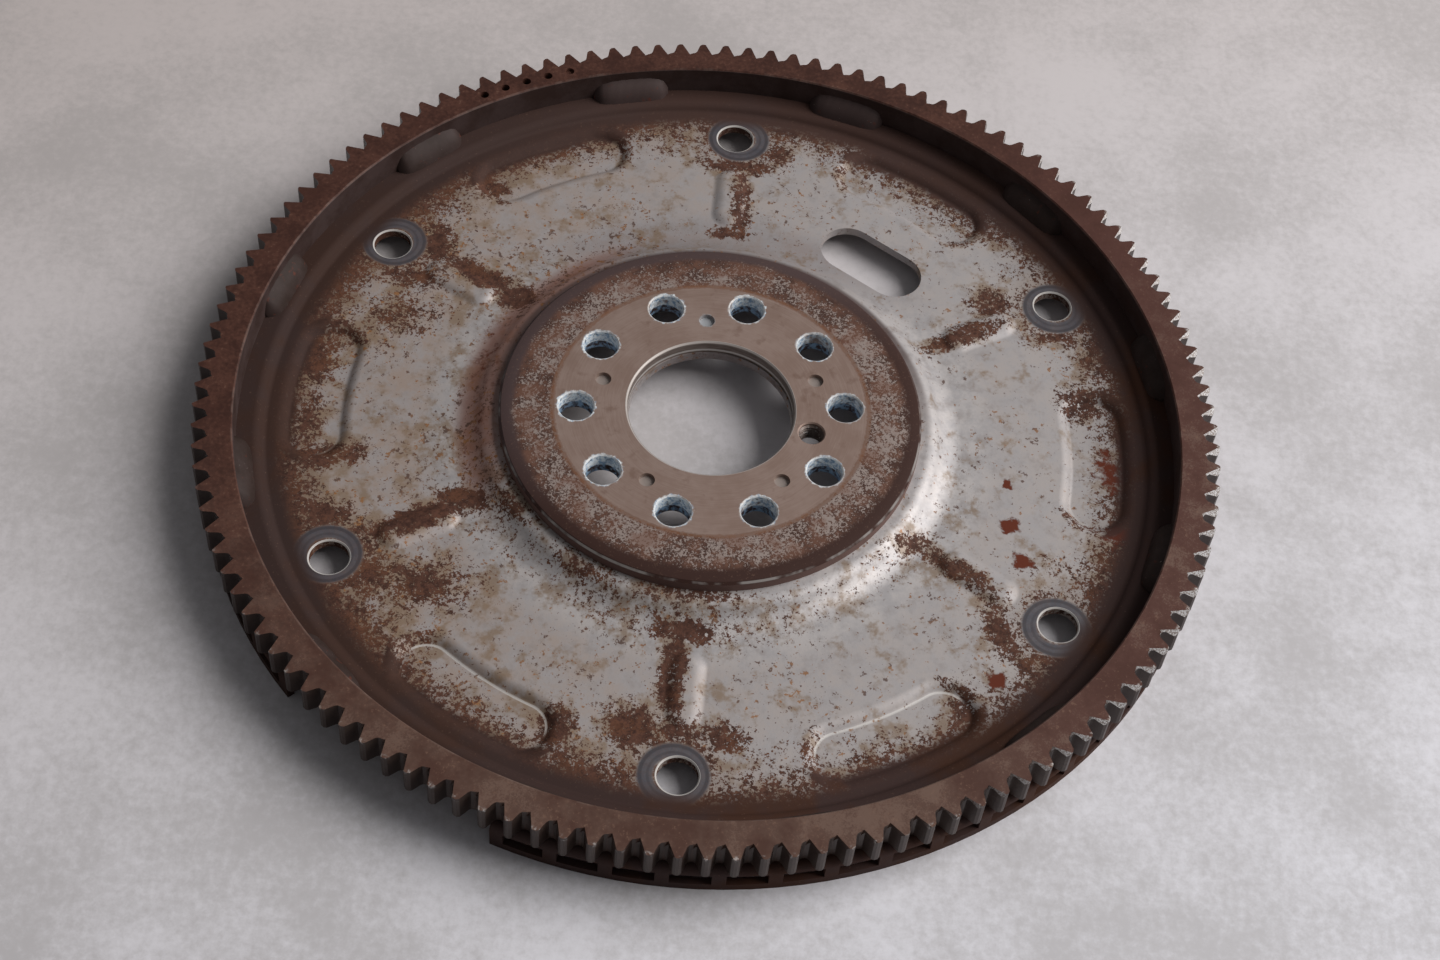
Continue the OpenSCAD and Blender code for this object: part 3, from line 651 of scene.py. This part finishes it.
def floor_material():
    g = Graph("pale_floor")
    mottle = g.noise(70.0, 1.0, 5.0, 0.65)
    cloud = g.noise(260.0, 2.0, 2.0, 0.5)
    grain = g.noise(3.0, 3.0, 4.0, 0.7)
    # Painted light: the floor grades from a warm, darker tone at the back left to a cool, brighter
    # tone at the front right.
    front = (g.x * 0.45 - g.y * 0.9).rise(-420.0, 420.0)
    base = g.mix(front, FLOOR_WARM_SHADED, FLOOR_COOL_LIT)
    shade = (mottle * 0.5 + cloud * 0.2 + grain * 0.3).rise(0.6, 0.4)
    color = g.mix(shade * 0.55, base, FLOOR_SHADE)
    return g.surface(color, 0.7, 0.0)


# Shading that is smooth over the steps of a bend and sharp at real edges

def smooth_group(name, angle):
    tree = bpy.data.node_groups.new(name, "GeometryNodeTree")
    tree.interface.new_socket("Geometry", in_out="INPUT", socket_type="NodeSocketGeometry")
    tree.interface.new_socket("Geometry", in_out="OUTPUT", socket_type="NodeSocketGeometry")
    start = tree.nodes.new("NodeGroupInput")
    merge = tree.nodes.new("GeometryNodeMergeByDistance")
    merge.inputs["Distance"].default_value = 0.001 * MM
    bare = tree.nodes.new("GeometryNodeRemoveAttribute")
    bare.inputs["Name"].default_value = "custom_normal"
    turn = tree.nodes.new("GeometryNodeInputMeshEdgeAngle")
    flat = tree.nodes.new("FunctionNodeCompare")
    flat.operation = "LESS_THAN"
    flat.inputs[1].default_value = angle * DEGREE
    edges = tree.nodes.new("GeometryNodeSetShadeSmooth")
    edges.domain = "EDGE"
    faces = tree.nodes.new("GeometryNodeSetShadeSmooth")
    faces.domain = "FACE"
    end = tree.nodes.new("NodeGroupOutput")
    chain = (start, merge, bare, edges, faces, end)
    for before, after in zip(chain, chain[1:]):
        tree.links.new(before.outputs[0], after.inputs[0])
    tree.links.new(turn.outputs["Unsigned Angle"], flat.inputs[0])
    tree.links.new(flat.outputs["Result"], edges.inputs["Shade Smooth"])
    return tree


def smooth_shading(piece, angle):
    soft = piece.modifiers.new("smooth_bends", "NODES")
    soft.node_group = smooth_group(piece.name + "_smooth", angle)
    weighted = piece.modifiers.new("flat_faces", "WEIGHTED_NORMAL")
    weighted.keep_sharp = True


for name, make, angle in (
    ("drive_plate", plate_material, BEND_ANGLE),
    ("ring_gear", ring_material, BEND_ANGLE),
    ("hub_plate", hub_material, BEND_ANGLE),
    ("weld_beads", weld_material, WELD_ANGLE),
):
    mesh = nodes[name].data
    mesh.materials.clear()
    mesh.materials.append(make())
    smooth_shading(nodes[name], angle)


# Thread of the jacking hole

def thread_mesh(name, radius, depth, pitch, low, high):
    """A ridge that winds up inside a hole of the radius, from height low to height high.

    It sinks a little into the wall, and fades in and out at its ends.
    """
    steps = 36
    fade_steps = 9.0
    sink = 0.05
    turns = (high - low) / pitch - 1.0
    shape = bmesh.new()
    rings = []
    for i in range(int(turns * steps) + 1):
        a = 2.0 * math.pi * i / steps
        z = low + pitch * (0.5 + i / steps)
        fade = min(1.0, i / fade_steps, (turns * steps - i) / fade_steps)
        ring = []
        for inward, rise in ((0.0, -0.46), (fade, -0.08), (fade, 0.08), (0.0, 0.46)):
            r = radius + sink - (depth + sink) * inward
            point = (r * math.cos(a) * MM, r * math.sin(a) * MM, (z + pitch * rise) * MM)
            ring.append(shape.verts.new(point))
        rings.append(ring)
    for one, two in zip(rings, rings[1:]):
        for k in range(4):
            m = (k + 1) % 4
            shape.faces.new((one[k], one[m], two[m], two[k]))
    shape.faces.new(rings[0][::-1])
    shape.faces.new(rings[-1])
    bmesh.ops.recalc_face_normals(shape, faces=shape.faces)
    mesh = bpy.data.meshes.new(name)
    shape.to_mesh(mesh)
    shape.free()
    return mesh


def thread_material():
    g = Graph("thread_steel")
    grain = g.noise(0.7, 2.0)
    blot = g.noise(2.5, 5.0)
    color = g.mix(blot.rise(0.35, 0.6), THREAD_LIGHT, THREAD_DARK)
    # Painted glints: bright specks on the thread.
    color = g.mix(grain.rise(0.56, 0.68) * 0.6, color, STEEL_HIGHLIGHT)
    return g.surface(color, 0.45, 0.4, g.bump(grain, 0.3, 0.05))


ridge = thread_mesh(
    "jack_thread", JACK_HOLE_R, THREAD_DEPTH, THREAD_PITCH, HUB_Z - SHEET_T, PLATE_Z - 0.4
)
thread = bpy.data.objects.new("jack_thread", ridge)
scene.collection.objects.link(thread)
jack_a = JACK_ANGLE * DEGREE
thread.location = (JACK_R * math.cos(jack_a) * MM, JACK_R * math.sin(jack_a) * MM, 0.0)
thread.data.materials.append(thread_material())
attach(thread, "root")

# Floor, sizes in metres
FLOOR_SIZE = 8.0
bpy.ops.mesh.primitive_plane_add(size=FLOOR_SIZE, location=(0.0, 0.0, 0.0))
floor = bpy.context.object
floor.name = "floor"
floor.data.materials.append(floor_material())

# Light from the right, as a large window gives it, with soft light all round
SKY_COLOR = (0.92, 0.93, 0.96, 1.0)
SKY_STRENGTH = 0.15
WINDOW_PLACE = Vector((2.17, 0.42, 1.85))
WINDOW_SIZE = 2.3
WINDOW_POWER = 109.0
WINDOW_COLOR = (1.0, 0.99, 0.98)
world = bpy.data.worlds.new("studio")
scene.world = world
world.use_nodes = True
backdrop = world.node_tree.nodes["Background"]
backdrop.inputs["Color"].default_value = SKY_COLOR
backdrop.inputs["Strength"].default_value = SKY_STRENGTH
window_data = bpy.data.lights.new("window", "AREA")
window_data.size = WINDOW_SIZE
window_data.energy = WINDOW_POWER
window_data.color = WINDOW_COLOR
window = bpy.data.objects.new("window", window_data)
scene.collection.objects.link(window)
window.location = WINDOW_PLACE
window.rotation_euler = (-WINDOW_PLACE).to_track_quat("-Z", "Y").to_euler()

# Camera at the photograph's place
TURN = -1.03 * DEGREE
ELEVATION = 53.2429 * DEGREE
ROLL = 6.1873 * DEGREE
EYE = Vector((0.00521, -0.46332, 0.57987))
LENS = 59.81
SENSOR = 36.0
back = Vector((0.0, -math.cos(ELEVATION), math.sin(ELEVATION)))
level = Vector((1.0, 0.0, 0.0))
upright = back.cross(level)
right = math.cos(ROLL) * level + math.sin(ROLL) * upright
up = -math.sin(ROLL) * level + math.cos(ROLL) * upright
spin = Matrix.Rotation(TURN, 3, "Z")
axes = Matrix((spin @ right, spin @ up, spin @ back)).transposed()
eye = spin @ EYE + Vector((0.0, 0.0, RING_Z * MM))
camera_data = bpy.data.cameras.new("camera")
camera_data.sensor_fit = "HORIZONTAL"
camera_data.sensor_width = SENSOR
camera_data.lens = LENS
camera_data.clip_start = 0.01
camera = bpy.data.objects.new("camera", camera_data)
scene.collection.objects.link(camera)
camera.matrix_world = Matrix.Translation(eye) @ axes.to_4x4()
scene.camera = camera
